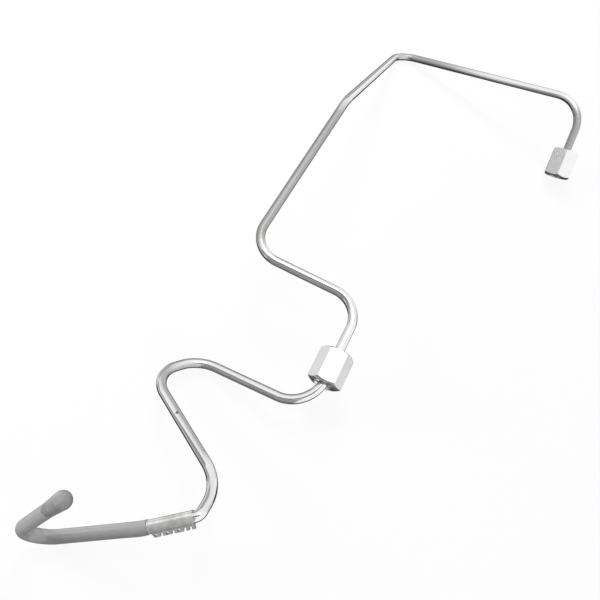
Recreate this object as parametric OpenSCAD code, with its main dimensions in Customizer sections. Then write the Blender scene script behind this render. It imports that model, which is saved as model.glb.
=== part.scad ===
// Bent steel pressure pipe with two union nuts, lying as it comes to rest.
// The centre line is a bend table: one corner point and one radius per bend.
// Lengths in millimetres, +Z up, the floor at z = 0.

/* [Tube] */
// Outside diameter of the steel tube
tube_d = 6; // [5:0.5:7]
// Bore of the steel tube
bore_d = 2; // [1:0.5:3]

/* [Bend radii] */
// Centre line radius of bend 1, above the upper nut
bend_1_r = 24; // [16:1:28]
// Centre line radius of bend 2, the far corner
bend_2_r = 14; // [12:1:24]
// Centre line radius of bend 3, the slight knee
bend_3_r = 30; // [20:1:50]
// Centre line radius of bend 4
bend_4_r = 18; // [12:1:24]
// Centre line radius of bend 5, above the middle nut
bend_5_r = 18; // [12:1:22]
// Centre line radius of bend 6, below the middle nut
bend_6_r = 22; // [12:1:24]
// Centre line radius of bend 7, first half of the long return
bend_7_r = 20; // [12:1:22]
// Centre line radius of bend 8, second half of the long return
bend_8_r = 15; // [12:1:17]
// Centre line radius of bend 9
bend_9_r = 25; // [14:1:27]
// Centre line radius of bend 10, at the mouth of the crimp sleeve
bend_10_r = 4; // [3.5:0.5:6]
// Centre line radius of bend 11, under the mouth of the grey sleeve
bend_11_r = 20; // [12:1:30]
// Centre line radius of bend 12, the tight end return
bend_12_r = 11; // [8:0.5:15]

/* [Nipples] */
// Diameter of the upset head at the upper end
upper_head_d = 9.6; // [8.6:0.2:11]
// Diameter of the upset head at the lower end
lower_head_d = 7.4; // [7.2:0.1:7.8]
// Diameter of the flat tip of a head
head_tip_d = 5.2; // [4:0.2:6]
// Length of the sealing cone
head_cone = 3.8; // [3:0.1:5]
// Length of the cylindrical land behind the cone
head_land = 0.8; // [0.4:0.1:1.5]

/* [Union nuts] */
// Width across the flats
nut_af = 19; // [17:0.5:22]
// Overall length
nut_len = 22; // [20:0.5:26]
// Drop of the turned chamfer at the corners of both end faces
nut_chamfer = 1.5; // [0.6:0.1:2.5]
// Slope of the turned chamfer, measured from the end face
nut_chamfer_deg = 30; // [20:1:40]
// Core diameter of the thread
thread_d = 12.4; // [11.6:0.1:13.2]
// Length of the thread from the open face
thread_len = 10; // [8:0.5:12]
// Width of the countersink in front of the thread
nut_csk = 1; // [0.5:0.1:1.5]
// Radial depth of the undercut behind the thread
under_depth = 0.5; // [0.3:0.1:0.8]
// Length of the undercut
under_len = 4; // [3.5:0.1:5]
// Radial clearance of the nut on the tube
nut_clear = 0.1; // [0.06:0.02:0.4]
// Gap between the shoulder of the upper nut and the back of the head
seat_gap = 0.3; // [0.1:0.05:0.6]
// Distance from the corner of bend 5 to the centre of the middle nut
middle_nut_at = 47; // [40:0.5:48]
// Turn of the upper nut about its axis
upper_nut_turn = 17; // [-30:1:30]
// Turn of the middle nut about its axis
middle_nut_turn = 2; // [-30:1:30]

/* [Crimp sleeve] */
// Length of the crimp sleeve
crimp_len = 23.5; // [20:0.5:25]
// Wall of the crimp sleeve
crimp_wall = 0.4; // [0.3:0.05:0.8]
// Straight tube left bare between bend 10 and the crimp sleeve
crimp_start = 0.2; // [0.1:0.1:0.6]
// Height of the toothed lip above the sleeve
lip_h = 2.2; // [1.6:0.1:3]
// Thickness of the toothed lip
lip_t = 1.6; // [1:0.1:2]
// Set back of the lip from both ends of the sleeve
lip_end = 0.4; // [0.2:0.1:1]
// Width of the slit along the lip
lip_slit = 0.2; // [0.1:0.05:0.4]
// Length over which the lip slopes away at its inner end
lip_taper = 1.8; // [0.8:0.2:2]
// Distance of the first and last cut-out from the ends of the sleeve
tooth_edge = 2.75; // [2.5:0.25:3.5]
// Number of cut-outs, notches and holes in turn
tooth_count = 7; // [4:1:8]
// Width of a notch and diameter of a hole
tooth_gap = 1.3; // [0.8:0.1:1.5]
// Direction of the lip round the tube
lip_turn = -29; // [-90:1:90]

/* [Grey sleeve] */
// Wall of the grey sleeve
sleeve_wall = 0.6; // [0.3:0.05:0.7]
// Extra radius of its mouth
mouth_rise = 0.1; // [0.05:0.05:0.4]
// Length over which the mouth narrows
mouth_len = 8; // [4:0.5:15]
// Clearance of crimp sleeve, grey sleeve and cap on the tube
fit_gap = 0.05; // [0.02:0.01:0.1]
// Joint between crimp sleeve and grey sleeve
seam_gap = 0.1; // [0.05:0.05:0.3]

/* [End cap] */
// Wall of the cap over the lower head
cap_wall = 0.75; // [0.4:0.05:0.9]
// Extra radius of the cap's mouth over the grey sleeve
cap_rise = 0.1; // [0:0.05:0.3]
// Length of the cap's side, from its mouth to its dome
cap_len = 14; // [9:0.5:20]
// Chamfer round the mouth of the cap
cap_chamfer = 0.2; // [0.1:0.05:0.4]
// Joint between grey sleeve and cap
cap_gap = 0.1; // [0.05:0.05:0.3]

/* [Hidden] */
$fn = 48;
over = 1;
// Straight lengths reach this far into bends and heads, whose ends are fuller by this step
lap = 0.1;
step = 0.05;

// Corner points of the centre line, from the upper tip to the lower tip
upper_end = [174, 83, 14.3];
bend_1 = [185, 118, 49.5];
bend_2 = [52.7, 218.2, -0.7];
bend_3 = [-15, 75.5, 59.5];
bend_4 = [-77.5, -43, 36.5];
bend_5 = [-4.5, -73, 29];
bend_6 = [-36, -140.5, 14.5];
bend_7 = [-103.5, -105.5, 1.5];
bend_8 = [-129, -121, 11.5];
bend_9 = [-86, -185.5, 21];
bend_10 = [-94.5, -203.7, 30.4];
bend_11 = [-123.3, -209, 21.6];
bend_12 = [-196, -212.5, -6];
lower_end = [-153, -204.5, 63];
// Shift that puts the middle of the footprint at the origin
to_middle = [-1.25, 0.8, 0.06];
route = [upper_end, bend_1, bend_2, bend_3, bend_4, bend_5, bend_6, bend_7,
    bend_8, bend_9, bend_10, bend_11, bend_12, lower_end];
corners = [for (p = route) p + to_middle];
radii = [0, bend_1_r, bend_2_r, bend_3_r, bend_4_r, bend_5_r, bend_6_r, bend_7_r,
    bend_8_r, bend_9_r, bend_10_r, bend_11_r, bend_12_r, 0];
last = len(corners) - 1;

// Legs the pieces sit on: leg i runs from corner i to corner i + 1
function leg_from(p) = [for (i = [0:last]) if (route[i] == p) i][0];
upper_leg = leg_from(upper_end);
middle_leg = leg_from(bend_5);
crimp_leg = leg_from(bend_10);
sleeve_leg = leg_from(bend_11);
tip_leg = leg_from(bend_12);

function unit(v) = v / norm(v);
function way(i) = unit(corners[i + 1] - corners[i]);
function leg_len(i) = norm(corners[i + 1] - corners[i]);
function bend_deg(i) = acos(way(i - 1) * way(i));
function setback(i) = i == 0 || i == last ? 0 : radii[i] * tan(bend_deg(i) / 2);

tube_r = tube_d / 2;
bore_r = bore_d / 2;
hug_r = tube_r + step + fit_gap;
upper_head_r = upper_head_d / 2;
lower_head_r = lower_head_d / 2;
head_side = head_cone + head_land;
upper_head_len = head_side + upper_head_r - tube_r;
lower_head_len = head_side + lower_head_r - tube_r;

nut_r = nut_af / 2 / cos(30);
nut_hole_r = tube_r + nut_clear;
thread_r = thread_d / 2;
under_r = thread_r + under_depth;
shoulder_z = thread_len + under_len;
// Depth of the tube's tip inside the upper nut: both shoulders slope at 45 degrees
tip_depth = shoulder_z + under_r - (head_side + upper_head_r) - seat_gap;

crimp_r = hug_r + crimp_wall;
crimp_from = setback(crimp_leg) + crimp_start;
crimp_to = crimp_from + crimp_len;
lip_from = lip_end;
lip_to = crimp_len - lip_end;
lip_top = crimp_r + lip_h;
tooth_pitch = (crimp_len - 2 * tooth_edge) / (tooth_count - 1);

sleeve_r = hug_r + sleeve_wall;
mouth_r = sleeve_r + mouth_rise;
cap_r = lower_head_r + fit_gap + cap_wall;
cap_mouth_r = sleeve_r + cap_rise;
// The dome's centre lies behind the tip so that the wall covers the head's rim
dome_at = leg_len(tip_leg) - head_cone / 2;
cap_from = dome_at - cap_len;

// Axes of a frame on a leg: z along the leg, x level
module on_leg(i, s) {
    z = way(i);
    x = unit(cross([0, 0, 1], z));
    y = cross(z, x);
    o = corners[i] + s * z;
    multmatrix([
        [x.x, y.x, z.x, o.x],
        [x.y, y.y, z.y, o.y],
        [x.z, y.z, z.z, o.z],
        [0, 0, 0, 1]]) children();
}

// Straight hollow length of leg i from s0 to s1, its outside a list of [z, r] from s0
module run(i, s0, s1, r_in, outside) {
    on_leg(i, s0) rotate_extrude() polygon(concat([[r_in, s1 - s0], [r_in, 0]],
        [for (q = outside) [q[1], q[0]]]));
}

module plain_run(i, s0, s1, r_out, r_in) {
    run(i, s0, s1, r_in, [[0, r_out], [s1 - s0, r_out]]);
}

// Hollow bend at corner i
module elbow(i, r_out, r_in) {
    t = way(i - 1);
    n = unit(way(i) - (t * way(i)) * t);
    b = cross(t, n);
    o = corners[i] - setback(i) * t + radii[i] * n;
    multmatrix([
        [-n.x, t.x, b.x, o.x],
        [-n.y, t.y, b.y, o.y],
        [-n.z, t.z, b.z, o.z],
        [0, 0, 0, 1]])
        rotate_extrude(angle = bend_deg(i)) translate([radii[i], 0]) difference() {
            circle(r_out + step);
            circle(r_in - step);
        }
}

// Upset head: flat tip at z = 0, sealing cone, land and 45 degree back
module head(head_r) {
    end_r = tube_r + step;
    back = head_side + head_r - end_r;
    rotate_extrude() polygon([[bore_r - step, 0], [head_tip_d / 2, 0], [head_r, head_cone], [head_r, head_side],
        [end_r, back], [bore_r - step, back]]);
}

module steel_tube() {
    color([0.78, 0.79, 0.8]) union() {
        on_leg(upper_leg, 0) head(upper_head_r);
        for (i = [0:last - 1])
            plain_run(i, (i == upper_leg ? upper_head_len : setback(i)) - lap,
                leg_len(i) - (i == tip_leg ? lower_head_len : setback(i + 1)) + lap, tube_r, bore_r);
        for (i = [1:last - 1]) elbow(i, tube_r, bore_r);
        on_leg(tip_leg, leg_len(tip_leg)) rotate([180, 0, 0]) head(lower_head_r);
    }
}

// Hexagon with turned chamfers at both ends, open thread at z = 0
module union_nut() {
    rim = nut_r - nut_chamfer / tan(nut_chamfer_deg);
    difference() {
        intersection() {
            cylinder(h = nut_len, r = nut_r, $fn = 6);
            rotate_extrude() polygon([[0, 0], [rim, 0], [nut_r, nut_chamfer],
                [nut_r, nut_len - nut_chamfer], [rim, nut_len], [0, nut_len]]);
        }
        rotate_extrude() polygon([[0, -over], [thread_r + nut_csk + over, -over], [thread_r, nut_csk],
            [thread_r, thread_len], [under_r, thread_len], [under_r, shoulder_z],
            [nut_hole_r, shoulder_z + under_r - nut_hole_r], [nut_hole_r, nut_len + over], [0, nut_len + over]]);
    }
}

module upper_union_nut() {
    color([0.86, 0.86, 0.85]) on_leg(upper_leg, -tip_depth) rotate([0, 0, upper_nut_turn]) union_nut();
}

module middle_union_nut() {
    color([0.86, 0.86, 0.85]) on_leg(middle_leg, middle_nut_at + nut_len / 2)
        rotate([180, 0, 0]) rotate([0, 0, middle_nut_turn]) union_nut();
}

// Split ferrule: its two edges meet in a lip with a notch at the mouth, then notches and holes in turn
module crimp_sleeve() {
    color([0.75, 0.75, 0.74]) on_leg(crimp_leg, crimp_from) rotate([0, 0, lip_turn]) difference() {
        union() {
            cylinder(h = crimp_len, r = crimp_r);
            translate([0, lip_t / 2, 0]) rotate([90, 0, 0]) linear_extrude(lip_t) polygon([[0, lip_from],
                [lip_top, lip_from], [lip_top, lip_to - lip_taper], [hug_r, lip_to], [0, lip_to]]);
        }
        translate([0, 0, -over]) cylinder(h = crimp_len + 2 * over, r = hug_r);
        translate([0, -lip_slit / 2, -over]) cube([lip_top + over, lip_slit, crimp_len + 2 * over]);
        for (k = [0:tooth_count - 1]) {
            z = tooth_edge + k * tooth_pitch;
            if (k == 0 || k % 2 == 1)
                translate([crimp_r + tooth_gap / 2, -lip_t, z - tooth_gap / 2])
                    cube([lip_h + over, 2 * lip_t, tooth_gap]);
            else
                translate([crimp_r + lip_h / 2, lip_t, z]) rotate([90, 0, 0]) cylinder(h = 2 * lip_t, d = tooth_gap);
        }
    }
}

module protective_sleeve() {
    mouth_from = setback(sleeve_leg) - lap;
    mouth_to = leg_len(sleeve_leg) - setback(tip_leg) + lap;
    color([0.6, 0.6, 0.6]) union() {
        plain_run(crimp_leg, crimp_to + seam_gap, leg_len(crimp_leg) - setback(sleeve_leg) + lap, mouth_r, hug_r);
        elbow(sleeve_leg, mouth_r, hug_r);
        run(sleeve_leg, mouth_from, mouth_to, hug_r, [[0, mouth_r], [2 * lap, mouth_r],
            [2 * lap + mouth_len, sleeve_r], [mouth_to - mouth_from, sleeve_r]]);
        elbow(tip_leg, sleeve_r, hug_r);
        plain_run(tip_leg, setback(tip_leg) - lap, cap_from - cap_gap, sleeve_r, hug_r);
    }
}

// Push-on cap: side that widens to a round dome, cavity that follows the lower head
module end_cap() {
    tip = leg_len(tip_leg) - cap_from;
    side = tip - head_side;
    room = lower_head_r + fit_gap;
    color([0.52, 0.52, 0.52]) on_leg(tip_leg, cap_from) difference() {
        union() {
            rotate_extrude() polygon([[0, 0], [cap_mouth_r - cap_chamfer, 0], [cap_mouth_r, cap_chamfer],
                [cap_r, cap_len], [0, cap_len]]);
            translate([0, 0, cap_len]) rotate_extrude() intersection() {
                circle(cap_r);
                square(2 * cap_r);
            }
        }
        rotate_extrude() polygon([[0, -over], [hug_r, -over], [hug_r, side - (lower_head_r - tube_r) - fit_gap],
            [room, side - fit_gap], [room, side + head_land], [head_tip_d / 2 + fit_gap, tip + fit_gap],
            [0, tip + fit_gap]]);
    }
}

steel_tube();
upper_union_nut();
middle_union_nut();
crimp_sleeve();
protective_sleeve();
end_cap();
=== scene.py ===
import math

import bpy
import numpy as np
from bpy.props import FloatProperty, FloatVectorProperty, IntProperty, PointerProperty
from mathutils import Matrix, Vector


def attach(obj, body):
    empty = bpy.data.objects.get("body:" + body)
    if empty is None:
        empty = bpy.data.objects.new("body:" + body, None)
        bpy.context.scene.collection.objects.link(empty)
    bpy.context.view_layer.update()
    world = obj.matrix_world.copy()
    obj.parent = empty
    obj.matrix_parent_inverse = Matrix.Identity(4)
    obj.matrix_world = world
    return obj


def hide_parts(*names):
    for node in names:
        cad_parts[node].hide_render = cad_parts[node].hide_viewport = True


bl_info = {
    "name": "Bent pressure tube",
    "version": (1, 0, 0),
    "blender": (4, 5, 0),
    "location": "View3D > Sidebar > Bent tube",
    "description": "Builds a bent steel tube with two union nuts, a crimp sleeve, a grey sleeve and a cap",
    "category": "Object",
}

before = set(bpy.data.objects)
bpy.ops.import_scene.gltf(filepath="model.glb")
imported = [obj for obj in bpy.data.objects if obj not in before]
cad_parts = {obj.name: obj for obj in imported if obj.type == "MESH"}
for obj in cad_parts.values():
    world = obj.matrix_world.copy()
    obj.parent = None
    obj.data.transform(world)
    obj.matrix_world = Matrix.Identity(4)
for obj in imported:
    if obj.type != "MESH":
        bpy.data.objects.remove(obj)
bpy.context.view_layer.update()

MM = 0.001
HEX_SIDES = 6
FLOOR_SIDES = 64
SMOOTH_ANGLE = math.radians(35)

# Corner points of the tube's centre line and the radius of the bend at each, in millimetres
BEND_TABLE = (
    ("upper_end", (174, 83, 14.3), 0),
    ("bend_1", (185, 118, 49.5), 24),
    ("bend_2", (52.7, 218.2, -0.7), 14),
    ("bend_3", (-15, 75.5, 59.5), 30),
    ("bend_4", (-77.5, -43, 36.5), 18),
    ("bend_5", (-4.5, -73, 29), 18),
    ("bend_6", (-36, -140.5, 14.5), 22),
    ("bend_7", (-103.5, -105.5, 1.5), 20),
    ("bend_8", (-129, -121, 11.5), 15),
    ("bend_9", (-86, -185.5, 21), 25),
    ("bend_10", (-94.5, -203.7, 30.4), 4),
    ("bend_11", (-123.3, -209, 21.6), 20),
    ("bend_12", (-196, -212.5, -6), 11),
    ("lower_end", (-153, -204.5, 63), 0),
)
TO_MIDDLE = (-1.25, 0.8, 0.06)

# Dull stretches of plating: from a distance past one corner to a distance past another, fade, amount,
# and, where it lies on one side alone, the bend to whose inside it turns and the cosine where it begins
DULL_STRETCHES = (
    ("upper_end", -5, "bend_1", 4, 12, 1.0, None),
    ("bend_1", 110, "bend_2", 12, 60, 1.0, None),
    ("bend_3", 8, "bend_4", 4, 16, 1.0, None),
    ("bend_7", 0, "bend_8", 6, 14, 0.8, ("bend_8", 0.62)),
    ("bend_8", -6, "bend_8", 62, 14, 0.8, ("bend_8", -0.3)),
)
# The tightest bend is flattened on its outer side by this share of the radius
FLAT_BEND, FLAT_SHARE = "bend_12", 0.27
# The grey sleeve is painted paler by this factor past the tight bend, as painted light on the tip leg
PAINTED_LIGHT_FACTOR = 1.46
# Dark nick on the tube: distance past a corner, share of the way round, and its two half widths
NICK = ("bend_8", 31.2, 0.465, 0.9, 0.055)

# Steps of the meshes along straight legs, in metres, and in bends, in radians
TUBE_STEPS = 6 * MM, math.radians(3)
BORE_STEPS = 20 * MM, math.radians(9)
SLEEVE_STEPS = 1.5 * MM, math.radians(3)
# Steps are rounded to this many digits, and none is closer than this to an end, in metres
DIGITS, CLOSE = 9, 1e-6
# Columns of a nut on each side of a corner, in degrees, and rows of its thread
CORNER_COLUMNS = (0.35, 0.8, 1.4, 2.3, 4.5, 9, 16, 23)
THREAD_ROWS = 66
# Rows of the cap's side and of its dome
TAPER_ROWS, DOME_ROWS = 12, 14

# The room that bright metal mirrors, with heights as sines: its steps from table to ceiling, and its
# sides, each with a compass azimuth, a half width in degrees, and a lowest and a highest edge
ROOM_STEPS = ((-0.36, -0.14), (-0.1, 0.1), (0.6, 0.97))
BACK_SIDES = ((350, 35, -0.15, 0.42), (275, 32, -0.1, 0.46))
FRONT_SIDES = ((207, 25, -0.9, 0.8),)
FRONT_RISE = (-0.5, 0.5)
TABLE_SIDES = ((314, 24, -0.6, -0.16),)
WINDOW_SIDES = ((273, 30, 0.48, 0.8), (131, 47, -0.56, 0.86), (43, 17, -0.46, 0.3))
SIDE_BLUR, EDGE_BLUR = 4, 0.06

# Lamps, by the names of their powers: azimuth and height in degrees, and whether metal mirrors them
LAMPS = {
    "back_lamp": (0, 45, False),
    "front_lamp": (165, 14, False),
    "left_lamp": (275, 22, False),
    "top_lamp": (0, 85, True),
}
# Corners of the cards that metal mirrors, in metres, by the names of their tones
CARDS = {
    "camera_card": ((-0.3, -0.37, 0.42), (0.05, -0.37, 0.42), (0.05, -0.18, 0.42), (-0.3, -0.18, 0.42)),
    "left_card": ((-0.36, -0.16, 0.1), (-0.22, -0.36, 0.1), (-0.16, -0.3, 0.3), (-0.3, -0.1, 0.3)),
}
# Place of the camera: its axes to the right, up and backwards as columns, then its position
CAMERA_PLACE = (
    (0.99013, -0.07182, -0.12032, -0.089967),
    (0.0, 0.85867, -0.51253, -0.263608),
    (0.14012, 0.50747, 0.8502, 0.345269),
    (0, 0, 0, 1),
)
WHITE = (1.0, 1.0, 1.0, 1.0)


def length(name, description, millimetres):
    """Property for a length, given in millimetres and kept in metres."""
    return FloatProperty(
        name=name, description=description, default=millimetres * MM, min=0, unit="LENGTH")


def rotation(name, description, degrees):
    """Property for an angle, given in degrees and kept in radians."""
    return FloatProperty(
        name=name, description=description, default=math.radians(degrees), subtype="ANGLE")


def power(name, description, watts):
    """Property for the power of a lamp in watts."""
    return FloatProperty(name=name, description=description, default=watts, min=0, unit="POWER")


def optics(name, description, millimetres):
    """Property for a size inside the camera, kept in millimetres as Blender keeps it."""
    return FloatProperty(name=name, description=description, default=millimetres, min=1)


def colour(name, description, value):
    """Property for a linear colour."""
    return FloatVectorProperty(
        name=name, description=description, default=value, size=3, min=0, max=1, subtype="COLOR")


def share(name, description, value):
    """Property for a plain number from 0 to 1."""
    return FloatProperty(
        name=name, description=description, default=value, min=0, max=1, subtype="FACTOR")


class TubeSizes(bpy.types.PropertyGroup):
    """Sizes of the steel tube and its upset heads"""

    outside: length("Tube diameter", "Outside diameter of the tube", 6)
    bore: length("Bore", "Diameter of the bore", 2)
    upper_head: length("Upper head", "Diameter of the head inside the upper nut", 9.6)
    lower_head: length("Lower head", "Diameter of the head inside the cap", 7.4)
    head_tip: length("Head tip", "Diameter of the flat tip of a head", 5.2)
    head_cone: length("Head cone", "Length of the sealing cone of a head", 3.8)
    head_land: length("Head land", "Length of the round land behind the cone", 0.8)
    sides: IntProperty(name="Sides", description="Facets around the tube", default=48, min=12)


class NutSizes(bpy.types.PropertyGroup):
    """Sizes of the two equal union nuts"""

    flats: length("Across flats", "Width of the hexagon across its flats", 19)
    height: length("Length", "Length of a nut along the tube", 22)
    chamfer: length("Chamfer", "Depth of the turned chamfer at a corner of the hexagon", 1.5)
    chamfer_turn: rotation("Chamfer angle", "Slope of the chamfer against the end face", 30)
    rounding: length("Edge rounding", "Width of the small rounding along the chamfer's edges", 0.16)
    thread: length("Thread bore", "Diameter of the thread at its crests", 12.4)
    thread_depth: length("Thread depth", "Height of the thread from crest to root", 0.42)
    pitch: length("Thread pitch", "Distance from one turn of the thread to the next", 1.5)
    thread_length: length("Thread length", "Length of the thread with its countersink", 10)
    countersink: length("Countersink", "Depth of the countersink at the open end", 1)
    undercut: length("Undercut", "Depth of the groove behind the thread", 0.5)
    undercut_length: length("Undercut length", "Length of the groove behind the thread", 4)
    clearance: length("Clearance", "Gap between the nut and the tube", 0.1)
    tip_depth: length("Tip depth", "Depth of the tube's tip in the upper nut", 11)
    middle_at: length("Middle nut place", "Distance of the middle nut from the corner before it", 47)
    upper_turn: rotation("Upper nut turn", "Turn of the upper nut about the tube", 17)
    middle_turn: rotation("Middle nut turn", "Turn of the middle nut about the tube", 2)


class SleeveSizes(bpy.types.PropertyGroup):
    """Sizes of the grey sleeve and of the cap"""

    fit: length("Fit", "Radius that the sleeves leave free round the tube", 0.1)
    crimp_start: length("Crimp start", "Gap between the bend and the crimp sleeve", 0.2)
    crimp_length: length("Crimp length", "Length of the crimp sleeve", 23.5)
    seam: length("Joint", "Gap between two sleeves that meet", 0.35)
    wall: length("Sleeve wall", "Wall of the grey sleeve", 0.6)
    mouth_rise: length("Mouth rise", "Extra radius of the sleeve's mouth", 0.1)
    mouth_length: length("Mouth length", "Length over which the mouth narrows", 8)
    lip: length("Lip rounding", "Rounding of the edges of sleeve and cap", 0.1)
    cap_length: length("Cap side", "Length of the cap from its mouth to its dome", 14)
    cap_wall: length("Cap wall", "Wall of the cap over the lower head", 0.75)
    dome: length("Dome height", "Height of the cap's flattened dome", 3.1)
    cap_rise: length("Cap rise", "Extra radius of the cap's mouth over the sleeve", 0.1)
    lean: length("Seam lean", "How far the seam leans towards the tip on its outer side", 2.0)
    lean_reach: length("Lean reach", "Length over which the lean fades out", 7)
    lean_turn: rotation("Lean direction", "Direction round the leg in which the seam leans", -90)


class Finishes(bpy.types.PropertyGroup):
    """Colours and gloss of the pieces"""

    tube: colour("Tube", "Bright plating of the tube", (0.92, 0.92, 0.915))
    tube_gloss: share("Tube roughness", "Roughness of the bright plating", 0.08)
    dull: colour("Dull tube", "Plating of the dull stretches of the tube", (0.47, 0.47, 0.465))
    dull_gloss: share("Dull roughness", "Roughness of the dull stretches", 0.42)
    nut: colour("Nuts", "Satin plating of the nuts", (0.99, 0.99, 0.985))
    nut_metal: share("Nut metal", "How much the satin plating mirrors its surroundings", 0.93)
    nut_gloss: share("Nut roughness", "Roughness of the satin plating", 0.27)
    crimp: colour("Crimp sleeve", "Bare steel of the crimp sleeve", (0.86, 0.86, 0.85))
    crimp_metal: share("Crimp metal", "How much the crimp sleeve mirrors its surroundings", 0.55)
    crimp_gloss: share("Crimp roughness", "Roughness of the crimp sleeve", 0.11)
    sleeve: colour("Grey sleeve", "Plastic of the grey sleeve", (0.4, 0.4, 0.4))
    sleeve_gloss: share("Sleeve roughness", "Roughness of the grey sleeve", 0.19)
    sleeve_mottle: share("Sleeve mottle", "How far the two greys of the sleeve lie apart", 0.09)
    cap: colour("Cap", "Plastic of the cap", (0.39, 0.39, 0.395))
    cap_gloss: share("Cap roughness", "Roughness of the cap", 0.46)
    cap_mottle: share("Cap mottle", "How far the two greys of the cap lie apart", 0.36)
    plastic_shine: share("Plastic shine", "Strength of reflections on the grey plastic", 0.9)


class Studio(bpy.types.PropertyGroup):
    """Floor, light and camera"""

    floor: length("Floor", "Radius of the round floor", 3000)
    floor_tone: colour("Floor tone", "Colour that the floor throws back on the object", (0.2, 0.2, 0.2))
    shade: share("Shadow depth", "Share of the floor's own shading that the camera sees", 0.09)
    shade_near: length("Shadow reach", "Distance from the middle where the shading starts to fade", 300)
    shade_far: length("Shadow end", "Distance from the middle where the shading is gone", 900)
    sky: share("Room light", "Strength of the even light from all sides", 0.22)
    back_lamp: power("Back lamp", "Power of the lamp at the back", 7.8)
    front_lamp: power("Front lamp", "Power of the low lamp at the front", 3.7)
    left_lamp: power("Left lamp", "Power of the lamp on the left", 8.5)
    top_lamp: power("Top lamp", "Power of the lamp overhead, which metal mirrors", 1.5)
    lamp_size: length("Lamp size", "Side of the square lamps", 450)
    lamp_away: length("Lamp distance", "Distance of the lamps from the object", 1200)
    below: share("Table", "Tone that metal mirrors straight below it", 0.05)
    aside: share("Table edge", "Tone that metal mirrors low beside it", 0.78)
    wall: share("Walls", "Tone that metal mirrors level with it", 0.9)
    ceiling: share("Ceiling", "Tone that metal mirrors above it", 1.0)
    back: share("Back wall", "Tone that metal mirrors low at the back", 0.4)
    window: share("Windows", "Tone of the bright sides of the room", 1.0)
    front_low: share("Front, low", "Tone that metal mirrors low on the camera's side", 0.17)
    front_high: share("Front, high", "Tone that metal mirrors high on the camera's side", 0.34)
    camera_card: share("Camera card", "Tone that metal mirrors close to the camera", 0.22)
    left_card: share("Left card", "Tone that metal mirrors left of the camera", 0.3)
    lens: optics("Lens", "Focal length of the camera in millimetres", 36)
    sensor: optics("Sensor", "Width of the sensor in millimetres", 36)


class BentTube(bpy.types.PropertyGroup):
    """All sizes and finishes of the bent tube"""

    tube: PointerProperty(type=TubeSizes)
    nut: PointerProperty(type=NutSizes)
    sleeve: PointerProperty(type=SleeveSizes)
    finish: PointerProperty(type=Finishes)
    studio: PointerProperty(type=Studio)


def unit(vectors):
    """Vectors scaled to length one along the last axis."""
    return vectors / np.linalg.norm(vectors, axis=-1, keepdims=True)


def once_round(sides):
    """Angles once round in even steps."""
    return np.arange(sides) / sides * 2 * math.pi


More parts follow.
